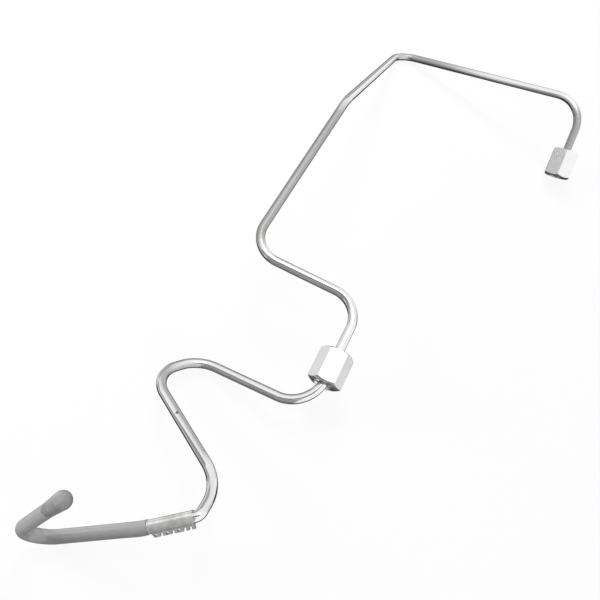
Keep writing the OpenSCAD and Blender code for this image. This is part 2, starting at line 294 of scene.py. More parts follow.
class Route:
    """Centre line of the tube: straight legs, joined at each corner by an arc that touches both."""

    def __init__(self):
        self.corner = (np.array([point for _, point, _ in BEND_TABLE]) + TO_MIDDLE) * MM
        self.leg_of = {row[0]: number for number, row in enumerate(BEND_TABLE)}
        radius = np.array([row[2] for row in BEND_TABLE]) * MM
        legs = np.diff(self.corner, axis=0)
        self.leg_length = np.linalg.norm(legs, axis=1)
        self.way = unit(legs)
        bent = np.zeros(len(radius))
        bent[1:-1] = np.arccos(np.sum(self.way[:-1] * self.way[1:], axis=1))
        self.setback = radius * np.tan(bent / 2)
        axis = unit(np.cross(self.way[:-1], self.way[1:]))
        normal = [unit(np.cross((0, 0, 1), self.way[0]))]
        for corner in range(1, len(radius) - 1):
            normal.append(turned(normal[-1], axis[corner - 1], bent[corner]))
        # A span is a leg without its setbacks or the arc of a bend, in turn
        count = 2 * len(legs) - 1
        self.base, self.ahead = np.zeros((count, 3)), np.zeros((count, 3))
        self.normal, self.axis = np.zeros((count, 3)), np.zeros((count, 3))
        self.bend, self.turn, span = np.zeros(count), np.zeros(count), np.zeros(count)
        self.base[0::2] = self.corner[:-1] + self.setback[:-1, None] * self.way
        self.ahead[0::2], self.normal[0::2] = self.way, normal
        span[0::2] = self.leg_length - self.setback[:-1] - self.setback[1:]
        self.base[1::2] = self.corner[1:-1] - self.setback[1:-1, None] * self.way[:-1]
        self.ahead[1::2], self.normal[1::2], self.axis[1::2] = self.way[:-1], normal[:-1], axis
        self.bend[1::2], self.turn[1::2] = radius[1:-1], bent[1:-1]
        span[1::2] = radius[1:-1] * bent[1:-1]
        self.start = np.concatenate([[0], np.cumsum(span)])

    def bend_span(self, name):
        """Number of the span that holds the arc of a bend."""
        return 2 * self.leg_of[name] - 1

    def through(self, name, run):
        """Share of the way through a bend at each distance, from 0 before it to 1 past it."""
        span = self.bend_span(name)
        return np.clip((run - self.start[span]) / (self.start[span + 1] - self.start[span]), 0, 1)

    def past(self, name, millimetres):
        """Distance on the route of a point on the leg past a corner, in millimetres from the corner."""
        return self.distance(self.leg_of[name], millimetres * MM)

    def distance(self, leg, along):
        """Distance on the route of a point on a leg, measured from the corner where the leg begins."""
        return self.start[2 * leg] + along - self.setback[leg]

    def stations(self, first, last, leg_step, turn_step):
        """Distances between two ends: even steps on legs, and steps of equal turn in bends."""
        spans = np.diff(self.start)
        steps = np.where(self.turn > 0, self.turn / turn_step, spans / leg_step)
        parts = [np.linspace(a, a + b, max(2, math.ceil(n) + 1))
                 for a, b, n in zip(self.start[:-1], spans, steps)]
        inside = np.unique(np.round(np.concatenate(parts), DIGITS))
        inside = inside[(inside > first + CLOSE) & (inside < last - CLOSE)]
        return np.concatenate([[first], inside, [last]])

    def at(self, run):
        """Centre, tangent, normal and side at each distance.

        On a leg the centre moves along the leg. In a bend of radius R it moves R sin(a) along the leg
        and R (1 - cos(a)) towards the inside, with a the distance in the bend over R. The normal is
        turned about the axis of each bend and about nothing else, so the section never twists."""
        span = np.clip(np.searchsorted(self.start, run, side="right") - 1, 0, len(self.base) - 1)
        along = (run - self.start[span])[:, None]
        bend, axis, ahead = self.bend[span][:, None], self.axis[span], self.ahead[span]
        angle = np.where(bend > 0, along / np.where(bend > 0, bend, 1), 0)
        inward = np.cross(axis, ahead)
        centre = self.base[span] + np.where(bend > 0, bend * np.sin(angle), along) * ahead
        centre = centre + bend * (1 - np.cos(angle)) * inward
        tangent = np.cos(angle) * ahead + np.sin(angle) * inward
        normal = turned(self.normal[span], axis, angle)
        return centre, tangent, normal, np.cross(tangent, normal)

    def leg_axes(self, leg, along):
        """Origin and axes of a frame on a leg: z along the leg and x level."""
        z = self.way[leg]
        x = unit(np.cross((0, 0, 1), z))
        return self.corner[leg] + along * z, np.array([x, np.cross(z, x), z])


def turned(vectors, axis, angle):
    """Vectors turned about a unit axis: v cos + (axis x v) sin + axis (axis . v)(1 - cos)."""
    kept = axis * np.sum(vectors * axis, axis=-1, keepdims=True)
    return vectors * np.cos(angle) + np.cross(axis, vectors) * np.sin(angle) + kept * (1 - np.cos(angle))


ROUTE = Route()


def section(run, sides):
    """Centre and tangent of the route at each distance, and the unit ring of its round section."""
    centre, tangent, normal, side = (part[:, None, :] for part in ROUTE.at(run))
    angle = once_round(sides)[None, :, None]
    return centre, tangent, np.cos(angle) * normal + np.sin(angle) * side


def sweep(run, radius, sides, slide=0.0):
    """Grid of a round section carried along the route.

    Point (i, j) is centre(run i) + radius i (cos(t) normal + sin(t) side) + slide tangent, with t
    going once round over the columns j. In the tight bend the radius is times 1 - share sin(pi p) c^2,
    with p the way through the bend and c the cosine from its outer side, so the outer side is flatter."""
    centre, tangent, ring = section(run, sides)
    slide = np.broadcast_to(slide, (len(run), sides))[..., None]
    outward = np.cross(tangent, ROUTE.axis[ROUTE.bend_span(FLAT_BEND)])
    outer = np.maximum(0, np.sum(ring * outward, axis=-1))
    flat = 1 - FLAT_SHARE * np.sin(math.pi * ROUTE.through(FLAT_BEND, run))[:, None] * outer ** 2
    return centre + (np.asarray(radius)[:, None] * flat)[..., None] * ring + slide * tangent


def revolve(profile, sides):
    """Grid of a turned profile: rows of (distance on the axis, radius), columns once round the axis."""
    angle = once_round(sides)
    flat = profile[:, 1, None] * np.cos(angle), profile[:, 1, None] * np.sin(angle)
    return np.stack([*flat, np.broadcast_to(profile[:, 0, None], (len(profile), sides))], axis=-1)


def grid_mesh(name, points, along, around=None, joined=False, tips=(None, None), marks=None):
    """Mesh of a grid that closes on itself over its columns, and over its rows too where joined is set.

    A tip is one point that closes the first or the last row with a fan. The UV map holds the share of
    the way round and the distance along in metres. Marks are values per point, kept as attributes."""
    rows, columns = points.shape[:2]
    around = np.linspace(0, 1, columns + 1) if around is None else around
    index = np.arange(rows * columns).reshape(rows, columns)
    if joined:
        index = np.vstack([index, index[:1]])
        along = np.append(along, along[-1] + MM)
    low, high = index[:-1], index[1:]
    faces = np.stack([low, np.roll(low, -1, 1), np.roll(high, -1, 1), high], axis=-1).reshape(-1, 4)
    u = np.stack([around[:-1], around[1:], around[1:], around[:-1]], axis=-1)
    v = np.stack([along[:-1], along[:-1], along[1:], along[1:]], axis=-1)
    uv = [np.stack(np.broadcast_arrays(u[None], v[:, None]), axis=-1).reshape(-1, 2)]
    vertices, polygons = [points.reshape(-1, 3)], faces.tolist()
    for tip, row, order in ((tips[0], 0, (2, 1, 0)), (tips[1], -1, (0, 1, 2))):
        if tip is None:
            continue
        point = sum(len(part) for part in vertices)
        vertices.append(np.asarray(tip)[None])
        fan = np.stack([index[row], np.roll(index[row], -1), np.full(columns, point)], axis=-1)
        fan_u = np.stack([around[:-1], around[1:], (around[:-1] + around[1:]) / 2], axis=-1)
        fan_uv = np.stack([fan_u, np.full_like(fan_u, along[row])], axis=-1)
        polygons += fan[:, order].tolist()
        uv.append(fan_uv[:, order].reshape(-1, 2))
    vertices = np.concatenate(vertices)
    mesh = bpy.data.meshes.new(name)
    mesh.from_pydata(vertices.tolist(), [], polygons)
    mesh.uv_layers.new(name="UVMap").data.foreach_set("uv", np.concatenate(uv).ravel())
    for label, values in (marks or {}).items():
        held = np.zeros(len(vertices))
        held[:rows * columns] = np.broadcast_to(values, (rows, columns)).ravel()
        mesh.attributes.new(label, "FLOAT", "POINT").data.foreach_set("value", held)
    mesh.polygons.foreach_set("use_smooth", np.ones(len(polygons), bool))
    mesh.update()
    mesh.set_sharp_from_angle(angle=SMOOTH_ANGLE)
    return mesh


def add_piece(name, mesh, material, body, node):
    """Puts a finished mesh into the scene in place of its CAD node."""
    piece = bpy.data.objects.new(name, mesh)
    bpy.context.collection.objects.link(piece)
    mesh.materials.append(material)
    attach(piece, body)
    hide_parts(node)


def smoothstep(value):
    """Rise from 0 to 1 with level ends: 3 x^2 - 2 x^3."""
    value = np.clip(value, 0, 1)
    return value * value * (3 - 2 * value)


class Graph:
    """Adds nodes to a tree; a value that is a socket is linked, any other is set."""

    def __init__(self, tree):
        self.tree = tree

    def feed(self, value, socket):
        """Links an input to a socket, or sets it to a plain value."""
        if isinstance(value, bpy.types.NodeSocket):
            self.tree.links.new(value, socket)
        else:
            socket.default_value = value

    def add(self, kind, values=None, **settings):
        """New node with its settings and inputs."""
        node = self.tree.nodes.new(kind)
        for key, value in settings.items():
            setattr(node, key, value)
        for key, value in (values or {}).items():
            self.feed(value, node.inputs[key])
        return node

    def math(self, operation, first, second=0.0, clamp=False):
        """Result of an operation on one or two values."""
        node = self.add("ShaderNodeMath", {0: first, 1: second}, operation=operation, use_clamp=clamp)
        return node.outputs[0]

    def vector(self, operation, first, second=(0.0, 0.0, 0.0), output=0):
        """Result of an operation on one or two vectors."""
        node = self.add("ShaderNodeVectorMath", {0: first, 1: second}, operation=operation)
        return node.outputs[output]

    def weighted(self, *parts):
        """Sum of values, each times its weight, held at 1."""
        scaled = [self.math("MULTIPLY", part, weight) for part, weight in parts]
        value = scaled[0]
        for part in scaled[1:]:
            value = self.math("ADD", value, part, clamp=True)
        return value

    def ramp(self, value, low, high, to_low=0.0, to_high=1.0):
        """Value carried from one range to another, held at its ends."""
        return self.add("ShaderNodeMapRange", {
            "Value": value, "From Min": low, "From Max": high,
            "To Min": to_low, "To Max": to_high}).outputs["Result"]

    def blend(self, amount, first, second):
        """Colour between two colours."""
        node = self.add("ShaderNodeMix", data_type="RGBA")
        for key, value in (("Factor_Float", amount), ("A_Color", first), ("B_Color", second)):
            self.feed(value, next(s for s in node.inputs if s.identifier == key))
        return next(s for s in node.outputs if s.identifier == "Result_Color")

    def noise(self, place, scale, detail, roughness, low=0.0, high=1.0):
        """Noise at a place, with its range from low to high carried to 0 and 1."""
        node = self.add("ShaderNodeTexNoise", {
            "Vector": place, "Scale": scale, "Detail": detail, "Roughness": roughness})
        return self.ramp(node.outputs["Fac"], low, high)

    def mark(self, name):
        """Value that the mesh keeps for each point."""
        return self.add("ShaderNodeAttribute", attribute_name=name).outputs["Fac"]

    def effect(self, name, **values):
        """Result of a shared effect."""
        return self.add("ShaderNodeGroup", values, node_tree=bpy.data.node_groups[name]).outputs[0]


def empty_graph(owner):
    """Clears the nodes of a material or a world and gives its graph."""
    owner.use_nodes = True
    owner.node_tree.nodes.clear()
    return Graph(owner.node_tree)


def new_group(name, inputs, output):
    """Empty node group with named inputs and one value output: its graph, its inputs and its end."""
    tree = bpy.data.node_groups.new(name, "ShaderNodeTree")
    for label in inputs:
        kind = "NodeSocketVector" if label in ("UV", "Vector") else "NodeSocketFloat"
        tree.interface.new_socket(label, in_out="INPUT", socket_type=kind)
    tree.interface.new_socket(output, in_out="OUTPUT", socket_type="NodeSocketFloat")
    graph = Graph(tree)
    entry = graph.add("NodeGroupInput")
    return graph, entry.outputs, graph.add("NodeGroupOutput").inputs[output]


def make_drawn_lines():
    """Fine lines along the tube: noise on (cos, sin) of the way round and a long stretch along it."""
    graph, given, end = new_group("drawn_lines", ("UV", "Count", "Stretch"), "Lines")
    parts = graph.add("ShaderNodeSeparateXYZ", {0: given["UV"]}).outputs
    angle = graph.math("MULTIPLY", parts["X"], 2 * math.pi)
    place = graph.add("ShaderNodeCombineXYZ", {
        "X": graph.math("MULTIPLY", graph.math("COSINE", angle), given["Count"]),
        "Y": graph.math("MULTIPLY", graph.math("SINE", angle), given["Count"]),
        "Z": graph.math("MULTIPLY", parts["Y"], given["Stretch"])}).outputs[0]
    graph.feed(graph.noise(place, 1.0, detail=4.0, roughness=0.6, low=0.3, high=0.7), end)


def make_clouds():
    """Large soft patches, as uneven plating or handling leaves: noise held to its middle range."""
    graph, given, end = new_group("soft_clouds", ("Vector", "Scale"), "Clouds")
    clouds = graph.noise(
        given["Vector"], given["Scale"], detail=3.0, roughness=0.55, low=0.33, high=0.67)
    graph.feed(clouds, end)


def make_grain():
    """Fine even grain: high noise with rounded pits cut into it."""
    graph, given, end = new_group("fine_grain", ("Vector", "Scale"), "Grain")
    grain = graph.noise(given["Vector"], given["Scale"], detail=5.0, roughness=0.65)
    pits = graph.add("ShaderNodeTexVoronoi", {"Vector": given["Vector"], "Scale": given["Scale"]})
    pit = graph.ramp(pits.outputs["Distance"], 0.0, 0.55)
    graph.feed(graph.weighted((grain, 0.6), (pit, 0.4)), end)


def make_edge_wear():
    """Worn edges: the edge mark, broken up by noise so that it comes and goes."""
    graph, given, end = new_group("edge_wear", ("Edge", "Vector", "Scale"), "Wear")
    broken = graph.noise(
        given["Vector"], given["Scale"], detail=4.0, roughness=0.6, low=0.35, high=0.65)
    graph.feed(graph.math("MULTIPLY", given["Edge"], broken, clamp=True), end)


def make_scuffs():
    """Sparse short marks: the peaks of a noise that is drawn out one way."""
    graph, given, end = new_group("scuffs", ("Vector", "Scale"), "Scuffs")
    place = graph.add("ShaderNodeMapping", {"Vector": given["Vector"], "Scale": (1.0, 4.0, 1.0)})
    peaks = graph.noise(
        place.outputs[0], given["Scale"], detail=2.0, roughness=0.5, low=0.66, high=0.74)
    graph.feed(peaks, end)


def need_groups():
    """Makes each shared effect once."""
    for name, make in (
            ("drawn_lines", make_drawn_lines), ("soft_clouds", make_clouds), ("fine_grain", make_grain),
            ("edge_wear", make_edge_wear), ("scuffs", make_scuffs)):
        if name not in bpy.data.node_groups:
            make()


def new_material(name):
    """Empty material with its shader; gives the material, its graph and the shader's inputs."""
    need_groups()
    material = bpy.data.materials.new(name)
    graph = empty_graph(material)
    shader = graph.add("ShaderNodeBsdfPrincipled")
    graph.add("ShaderNodeOutputMaterial", {"Surface": shader.outputs[0]})
    return material, graph, shader.inputs


def shade(value, factor):
    """Colour made darker or lighter, with its alpha."""
    return tuple(min(1.0, part * factor) for part in value) + (1.0,)


def relief(graph, inputs, height, depth):
    """Feeds a height, times a depth in metres, through a bump to the shader's normal."""
    bump = graph.add("ShaderNodeBump", {"Height": height, "Distance": depth})
    graph.feed(bump.outputs[0], inputs["Normal"])


def bright_plating(finish):
    """Bright plated tube: drawn lines, faint clouds, short scuffs, dull stretches and one dark nick.

    The nick is where the squares of the two distances from its middle, each over its half width, add up
    to less than about one."""
    material, graph, inputs = new_material("bright_plating")
    place = graph.add("ShaderNodeTexCoord").outputs
    lines = graph.effect("drawn_lines", UV=place["UV"], Count=9.0, Stretch=60.0)
    clouds = graph.effect("soft_clouds", Vector=place["Object"], Scale=45.0)
    scuffs = graph.effect("scuffs", Vector=place["Object"], Scale=170.0)
    dull = graph.mark("dull")
    tone = graph.weighted((lines, 0.3), (clouds, 0.35), (scuffs, 0.35))
    inputs["Metallic"].default_value = 1.0
    bright = graph.blend(tone, shade(finish.tube, 1.0), shade(finish.tube, 0.86))
    worn = graph.blend(tone, shade(finish.dull, 1.06), shade(finish.dull, 0.9))
    body = graph.blend(dull, bright, worn)
    corner, ahead, way_round, half_along, half_round = NICK
    ways = graph.add("ShaderNodeSeparateXYZ", {0: place["UV"]}).outputs
    along = graph.math("SUBTRACT", ways["Y"], ROUTE.past(corner, ahead))
    around = graph.math("SUBTRACT", ways["X"], way_round)
    away = graph.math(
        "ADD", graph.math("POWER", graph.math("DIVIDE", along, half_along * MM), 2.0),
        graph.math("POWER", graph.math("DIVIDE", around, half_round), 2.0))
    nick = graph.ramp(away, 1.3, 0.4)
    graph.feed(graph.blend(nick, body, shade(finish.dull, 0.35)), inputs["Base Color"])
    rough = graph.ramp(tone, 0.0, 1.0, finish.tube_gloss, finish.tube_gloss + 0.09)
    extra = graph.math("MULTIPLY", dull, finish.dull_gloss - finish.tube_gloss)
    graph.feed(graph.math("ADD", rough, extra), inputs["Roughness"])
    relief(graph, inputs, lines, depth=4e-6)
    return material


def satin_plating(finish):
    """Satin plated nuts: fine grain, soft clouds, and brighter metal where the edges are rubbed."""
    material, graph, inputs = new_material("satin_plating")
    place = graph.add("ShaderNodeTexCoord").outputs
    clouds = graph.effect("soft_clouds", Vector=place["Object"], Scale=120.0)
    grain = graph.effect("fine_grain", Vector=place["Object"], Scale=2600.0)
    wear = graph.effect("edge_wear", Edge=graph.mark("edge"), Vector=place["Object"], Scale=420.0)
    inputs["Metallic"].default_value = finish.nut_metal
    body = graph.blend(clouds, shade(finish.nut, 0.95), shade(finish.nut, 1.0))
    graph.feed(graph.blend(wear, body, shade(finish.nut, 1.06)), inputs["Base Color"])
    rough = graph.ramp(clouds, 0.0, 1.0, finish.nut_gloss + 0.08, finish.nut_gloss)
    graph.feed(graph.math("SUBTRACT", rough, graph.math("MULTIPLY", wear, 0.04)), inputs["Roughness"])
    relief(graph, inputs, grain, depth=1.2e-5)
    return material


def bare_steel(finish):
    """Stamped steel of the crimp: clouds and scuffs in its tone and gloss, shallow dents, fine grain."""
    material, graph, inputs = new_material("bare_steel")
    place = graph.add("ShaderNodeTexCoord").outputs
    clouds = graph.effect("soft_clouds", Vector=place["Object"], Scale=260.0)
    grain = graph.effect("fine_grain", Vector=place["Object"], Scale=3000.0)
    scuffs = graph.effect("scuffs", Vector=place["Object"], Scale=420.0)
    dents = graph.effect("soft_clouds", Vector=place["Object"], Scale=700.0)
    tone = graph.weighted((clouds, 0.6), (scuffs, 0.4))
    inputs["Metallic"].default_value = finish.crimp_metal
    body = graph.blend(tone, shade(finish.crimp, 1.08), shade(finish.crimp, 0.6))
    graph.feed(body, inputs["Base Color"])
    rough = graph.ramp(tone, 0.0, 1.0, finish.crimp_gloss, finish.crimp_gloss + 0.14)
    graph.feed(rough, inputs["Roughness"])
    relief(graph, inputs, graph.math("ADD", dents, graph.math("MULTIPLY", grain, 0.1)), depth=4e-5)
    return material


def moulded_grey(finish, piece, grain_scale):
    """Grey plastic: two close greys in soft patches, painted light paler past the tight bend, fine grain,
    uneven gloss.
    """
    material, graph, inputs = new_material(f"{piece}_grey")
    tint, gloss, mottle = (getattr(finish, piece + part) for part in ("", "_gloss", "_mottle"))
    place = graph.add("ShaderNodeTexCoord").outputs
    clouds = graph.effect("soft_clouds", Vector=place["Object"], Scale=150.0)
    grain = graph.effect("fine_grain", Vector=place["Object"], Scale=grain_scale)
    scuffs = graph.effect("scuffs", Vector=place["Object"], Scale=260.0)
    inputs["Specular IOR Level"].default_value = finish.plastic_shine
    patch = graph.weighted((clouds, 0.6), (grain, 0.4))
    # Painted light: a paler copy of the two greys, used past the tight bend so the tip leg reads as lit
    plain, painted_lit = (
        graph.blend(patch, shade(tint, level * (1 - mottle)), shade(tint, level * (1 + mottle)))
        for level in (1, PAINTED_LIGHT_FACTOR))
    body = graph.blend(graph.mark("pale"), plain, painted_lit)
    scuffed = graph.blend(graph.math("MULTIPLY", scuffs, 0.5), body, shade(tint, 1.3))
    graph.feed(scuffed, inputs["Base Color"])
    graph.feed(graph.ramp(patch, 0.2, 0.8, gloss + 0.07, gloss - 0.05), inputs["Roughness"])
    relief(graph, inputs, grain, depth=1.5e-5)
    return material


def head_profile(sizes, head):
    """Distances from the tip and radii of an upset head: flat tip, cone, land and 45 degree back."""
    tube, wide = sizes.outside / 2, head / 2
    side = sizes.head_cone + sizes.head_land
    return (np.array([0, sizes.head_cone, side, side + wide - tube]),
            np.array([sizes.head_tip / 2, wide, wide, tube]))


def dull_stretches(run, sides):
    """Share of dull plating at each point: a smooth rise and fall over each stretch of the route.

    A stretch on one side alone is times a smooth step of the cosine from the inside of its bend."""
    _, tangent, ring = section(run, sides)
    total = np.zeros(ring.shape[:2])
    for first, first_at, last, last_at, fade, amount, inside in DULL_STRETCHES:
        rise = smoothstep((run - ROUTE.past(first, first_at)) / (fade * MM) + 0.5)
        fall = smoothstep((ROUTE.past(last, last_at) - run) / (fade * MM) + 0.5)
        dull = (amount * rise * fall)[:, None]
        if inside:
            bend, level = inside
            inward = np.cross(ROUTE.axis[ROUTE.bend_span(bend)], tangent)
            dull = dull * smoothstep(2 * (np.sum(ring * inward, axis=-1) - level) + 0.5)
        total = np.maximum(total, dull)
    return total


class BENTTUBE_OT_tube(bpy.types.Operator):
    """Sweeps the steel tube, with its bore and both heads, along the bend table"""

    bl_idname = "bent_tube.tube"
    bl_label = "Steel tube"

    def execute(self, context):
        sizes = context.scene.bent_tube.tube
        total = ROUTE.start[-1]
        upper_at, upper_r = head_profile(sizes, sizes.upper_head)
        lower_at, lower_r = head_profile(sizes, sizes.lower_head)
        at = np.concatenate([upper_at, total - lower_at[::-1]])
        radii = np.concatenate([upper_r, lower_r[::-1]])
        run = np.unique(np.concatenate([ROUTE.stations(0, total, *TUBE_STEPS), at]))
        back = ROUTE.stations(0, total, *BORE_STEPS)[::-1]
        rows = np.concatenate([run, back])
        radius = np.concatenate([np.interp(run, at, radii), np.full(len(back), sizes.bore / 2)])
        mesh = grid_mesh("steel_tube_dressed", sweep(rows, radius, sizes.sides), rows, joined=True,
                         marks={"dull": dull_stretches(rows, sizes.sides)})
        add_piece(mesh.name, mesh, bright_plating(context.scene.bent_tube.finish), "pipe", "steel_tube")
        return {"FINISHED"}


def nut_columns():
    """Angles round a nut, close together at its corners, and their distance from the nearest corner."""
    half = np.array(CORNER_COLUMNS)
    offset = np.concatenate([-half[::-1], [0], half, [30]])
    corners = np.arange(HEX_SIDES) * 360 / HEX_SIDES
    angle = (corners[:, None] + offset).ravel()
    order = np.argsort(angle)
    return np.radians(angle[order]), np.abs(np.tile(offset, HEX_SIDES)[order])


def nut_surface(sizes, tube):
    """Rows of a union nut from its open end: points, distance along the profile, and the edge mark.

    The hexagon is r = a / (sum of max(0, cos(t - face))^n)^(1/n), which is a plain hexagon with lightly
    rounded corners. The chamfer meets it at the height (r - rim) tan(slope), so its edge is scalloped.
    Inside, the thread is crest + depth * wave(z / pitch - t / one turn), a ridge that climbs one pitch
    a turn, then a groove, a 45 degree shoulder and the plain hole."""
    angle, off = nut_columns()
    corner_power, worn_width = 90, 1.2
    faces = (np.arange(HEX_SIDES) + 0.5) * 2 * math.pi / HEX_SIDES
    cosines = np.maximum(0, np.cos(angle[None] - faces[:, None]))
    side = sizes.flats / 2 / np.sum(cosines ** corner_power, axis=0) ** (1 / corner_power)
    slope, soft = sizes.chamfer_turn, sizes.rounding
    rim = sizes.flats / 2 / math.cos(math.pi / HEX_SIDES) - sizes.chamfer / math.tan(slope)
    edge_z = (side - rim) * math.tan(slope)
    corner = np.exp(-(off / worn_width) ** 2)
    crest, hole = sizes.thread / 2, tube.outside / 2 + sizes.clearance
    groove = crest + sizes.undercut
    shoulder = sizes.thread_length + sizes.undercut_length
    lean, rise = soft * math.cos(slope), soft * math.sin(slope)
    # Half of the outside, from the rim of the end face to the middle of the flats
    outside = [
        (rim - soft, 0, 0.4), (rim, 0.14 * soft, 0.8), (rim + lean, rise, 0.4),
        (side - lean, edge_z - rise, 0.5), (side - lean / 4, edge_z + (soft - rise) / 4, 1.0),
        (side, edge_z + soft, 0.5 + 0.5 * corner), (side, edge_z + 3 * soft, corner),
        (side, edge_z + (sizes.height / 2 - edge_z) / 2, corner)]
    back = [(r, sizes.height - z, mark) for r, z, mark in reversed(outside)]
    hole_lip, groove_lip, thread_lip = 0.3 * MM, 0.2 * MM, 0.1 * MM
    inside = [
        (hole + hole_lip, sizes.height, 0.6), (hole, sizes.height - hole_lip, 0.3),
        (hole, shoulder + groove - hole, 0), (groove, shoulder, 0),
        (groove, sizes.thread_length + groove_lip, 0), (crest, sizes.thread_length, 0)]
    # The thread is flat over this share of its wave at crest and root, and fades out over both ends
    flat, run_in, run_out = 0.12, 0.6 * sizes.pitch, 0.3 * sizes.pitch
    level = np.linspace(sizes.thread_length - thread_lip, sizes.countersink, THREAD_ROWS)[:, None]
    wave = np.abs(2 * np.mod(level / sizes.pitch - angle[None] / (2 * math.pi), 1) - 1)
    fade = smoothstep((level - sizes.countersink) / run_in)
    fade = fade * smoothstep((sizes.thread_length - level) / run_out)
    ridge = crest + sizes.thread_depth * fade * np.clip((wave - flat) / (1 - 2 * flat), 0, 1)
    thread = [(r, z[0], 0.25 * (1 - (r - crest) / sizes.thread_depth)) for r, z in zip(ridge, level)]
    rows = [(crest + sizes.countersink, 0, 0.7), *outside, (side, sizes.height / 2, corner), *back,
            *inside, *thread]
    full = [np.stack(np.broadcast_arrays(*row, angle), axis=-1)[..., :3] for row in rows]
    radius, height, mark = (np.array(full)[..., part] for part in range(3))
    points = np.stack([radius * np.cos(angle), radius * np.sin(angle), height], axis=-1)
    step = np.linalg.norm(np.diff(np.stack([radius, height]).mean(axis=-1), axis=1), axis=0)
    around = np.append(angle, angle[0] + 2 * math.pi) / (2 * math.pi)
    return points, np.concatenate([[0], np.cumsum(step)]), around, mark


class BENTTUBE_OT_nuts(bpy.types.Operator):
    """Builds both union nuts with their threads and sets them on the tube"""

    bl_idname = "bent_tube.nuts"
    bl_label = "Union nuts"

    def execute(self, context):
        settings = context.scene.bent_tube
        sizes = settings.nut
        material = satin_plating(settings.finish)
        points, along, around, mark = nut_surface(sizes, settings.tube)
        upper = ROUTE.leg_axes(ROUTE.leg_of["upper_end"], -sizes.tip_depth)
        origin, axes = ROUTE.leg_axes(ROUTE.leg_of["bend_5"], sizes.middle_at + sizes.height / 2)
        # The middle nut faces the other way, half a turn about its level axis
        middle = origin, axes * np.array([[1], [-1], [-1]])
        for name, turn, (origin, axes) in (
                ("upper", sizes.upper_turn, upper), ("middle", sizes.middle_turn, middle)):
            placed = turned(points, np.array((0.0, 0, 1)), turn) @ axes + origin
            mesh = grid_mesh(
                f"{name}_union_nut_dressed", placed, along, around, joined=True, marks={"edge": mark})
            add_piece(mesh.name, mesh, material, f"{name}_nut", f"{name}_union_nut")
        return {"FINISHED"}


def tip_leg_lean(sizes, sides):
    """Lean of the seam round the tip leg: a cosine that is highest in the lean's direction."""
    _, _, normal, side = (part[0] for part in ROUTE.at(np.array([ROUTE.start[-1]])))
    _, axes = ROUTE.leg_axes(ROUTE.leg_of["bend_12"], 0)
    high = math.cos(sizes.lean_turn) * axes[0] + math.sin(sizes.lean_turn) * axes[1]
    angle = once_round(sides)
    swept = np.cos(angle) * (normal @ high) + np.sin(angle) * (side @ high)
    return sizes.lean * swept, sizes.lean * np.cos(angle - sizes.lean_turn)


def cap_place(settings):
    """Distance on the tip leg of the cap's mouth, so that its dome covers the lower head."""
    leg = ROUTE.leg_of["bend_12"]
    return ROUTE.leg_length[leg] - settings.tube.head_cone / 2 - settings.sleeve.cap_length


class BENTTUBE_OT_sleeve(bpy.types.Operator):
    """Sweeps the grey sleeve from the crimp sleeve round the tight bend to the cap"""

    bl_idname = "bent_tube.sleeve"
    bl_label = "Grey sleeve"

    def execute(self, context):
        settings = context.scene.bent_tube
        sizes, sides = settings.sleeve, settings.tube.sides
        crimp_leg, sleeve_leg, tip_leg = (
            ROUTE.leg_of[name] for name in ("bend_10", "bend_11", "bend_12"))
        inner = settings.tube.outside / 2 + sizes.fit
        outer = inner + sizes.wall
        mouth = outer + sizes.mouth_rise
        crimp_end = ROUTE.setback[crimp_leg] + sizes.crimp_start + sizes.crimp_length
        first = ROUTE.distance(crimp_leg, crimp_end + sizes.seam)
        last = ROUTE.distance(tip_leg, cap_place(settings) - sizes.seam)
        narrow = ROUTE.distance(sleeve_leg, ROUTE.setback[sleeve_leg])
        at = np.array([
            first, first + sizes.lip, narrow, narrow + sizes.mouth_length, last - sizes.lip, last])
        radii = np.array([mouth - sizes.lip, mouth, mouth, outer, outer, outer - sizes.lip])
        stations = ROUTE.stations(first, last, *SLEEVE_STEPS)
        run = np.unique(np.concatenate([stations, at]))
        back = stations[::-1]
        rows = np.concatenate([run, back])
        radius = np.concatenate([np.interp(run, at, radii), np.full(len(back), inner)])
        lean, _ = tip_leg_lean(sizes, sides)
        near_end = smoothstep(1 - (last - rows) / sizes.lean_reach)
        # Painted light: share of the paler grey, rising through the tight bend, so the tip leg reads as
        # lit
        pale = smoothstep(ROUTE.through("bend_12", rows))
        points = sweep(rows, radius, sides, near_end[:, None] * lean)
        mesh = grid_mesh(
            "protective_sleeve_dressed", points, rows, joined=True, marks={"pale": pale[:, None]})
        material = moulded_grey(settings.finish, "sleeve", grain_scale=1500.0)
        add_piece(mesh.name, mesh, material, "pipe", "protective_sleeve")
        return {"FINISHED"}


